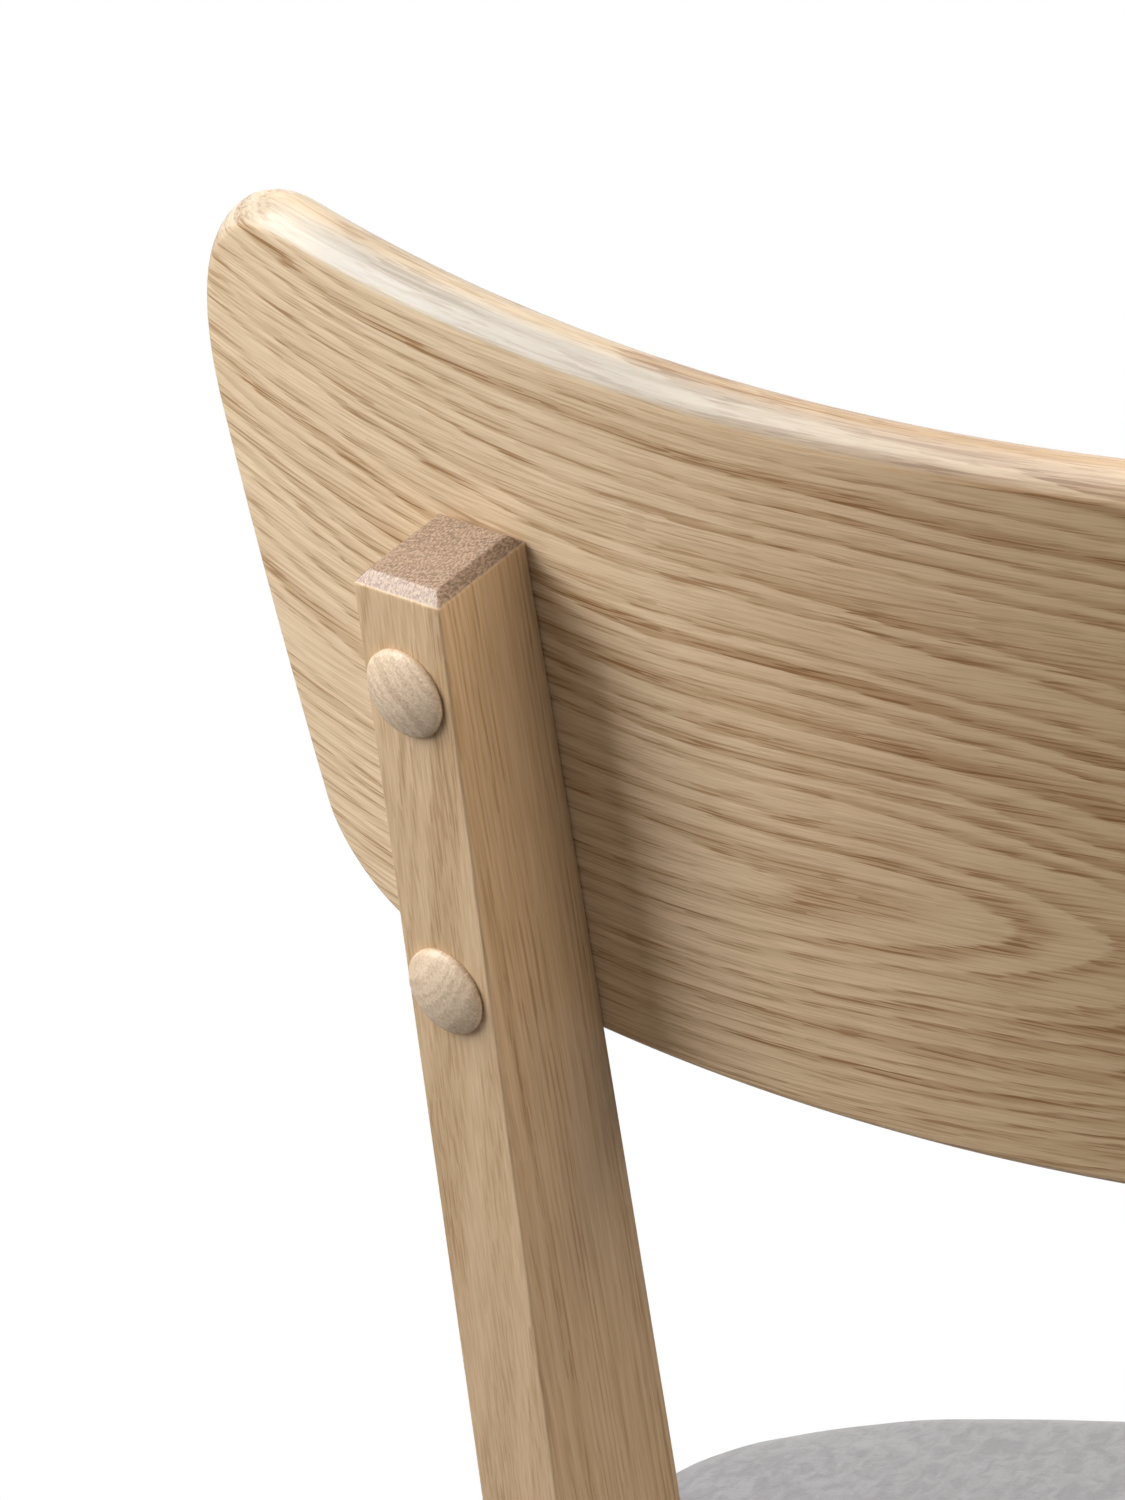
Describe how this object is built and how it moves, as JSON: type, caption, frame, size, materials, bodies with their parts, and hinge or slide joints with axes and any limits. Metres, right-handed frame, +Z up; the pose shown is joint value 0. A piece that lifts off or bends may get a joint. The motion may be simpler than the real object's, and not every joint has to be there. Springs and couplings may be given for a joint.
{
  "type": "upholstered dining chair",
  "caption": "Solid wood dining chair with a bowed back panel held on raked rear legs behind turned cover buttons, and a rounded felt-covered seat pad.",
  "frame": {"origin": "on the floor, under the middle of the chair's outline in plan", "axes": "+Z up; the sitter faces -Y, so the back is on the +Y side; +X is the sitter's left"},
  "size_m": [0.5038, 0.479, 0.8267],
  "materials": {
    "oak": "satin clear lacquer on open-pored wood",
    "button_oak": "satin clear lacquer on turned wood, grain across the face",
    "beech": "planed, bare",
    "plywood": "sanded birch plywood, bare",
    "felt": "dense warm-grey wool felt",
    "foam": "open-cell cushion foam",
    "dust_cloth": "thin dark non-woven cloth",
    "zinc_steel": "bright zinc plating",
    "brass": "turned, bright",
    "glide_plastic": "hard dark plastic"
  },
  "bodies": {
    "root": {"back_panel": "oak", "rear_leg_left": "oak", "rear_leg_right": "oak", "front_leg_left": "oak", "front_leg_right": "oak", "front_rail": "oak", "rear_rail": "oak", "side_rail_left": "oak", "side_rail_right": "oak", "rail_dowels": "beech", "corner_block_front_left": "beech", "corner_block_front_right": "beech", "corner_block_rear_left": "beech", "corner_block_rear_right": "beech", "corner_block_screws": "zinc_steel", "back_inserts": "brass", "back_screws": "zinc_steel", "cover_buttons": "button_oak", "seat_board": "plywood", "seat_foam": "foam", "seat_cover": "felt", "dust_cover": "dust_cloth", "cover_staples": "zinc_steel", "seat_inserts": "brass", "seat_screws": "zinc_steel", "foot_glides": "glide_plastic", "glide_nails": "zinc_steel"}
  },
  "joints": []
}
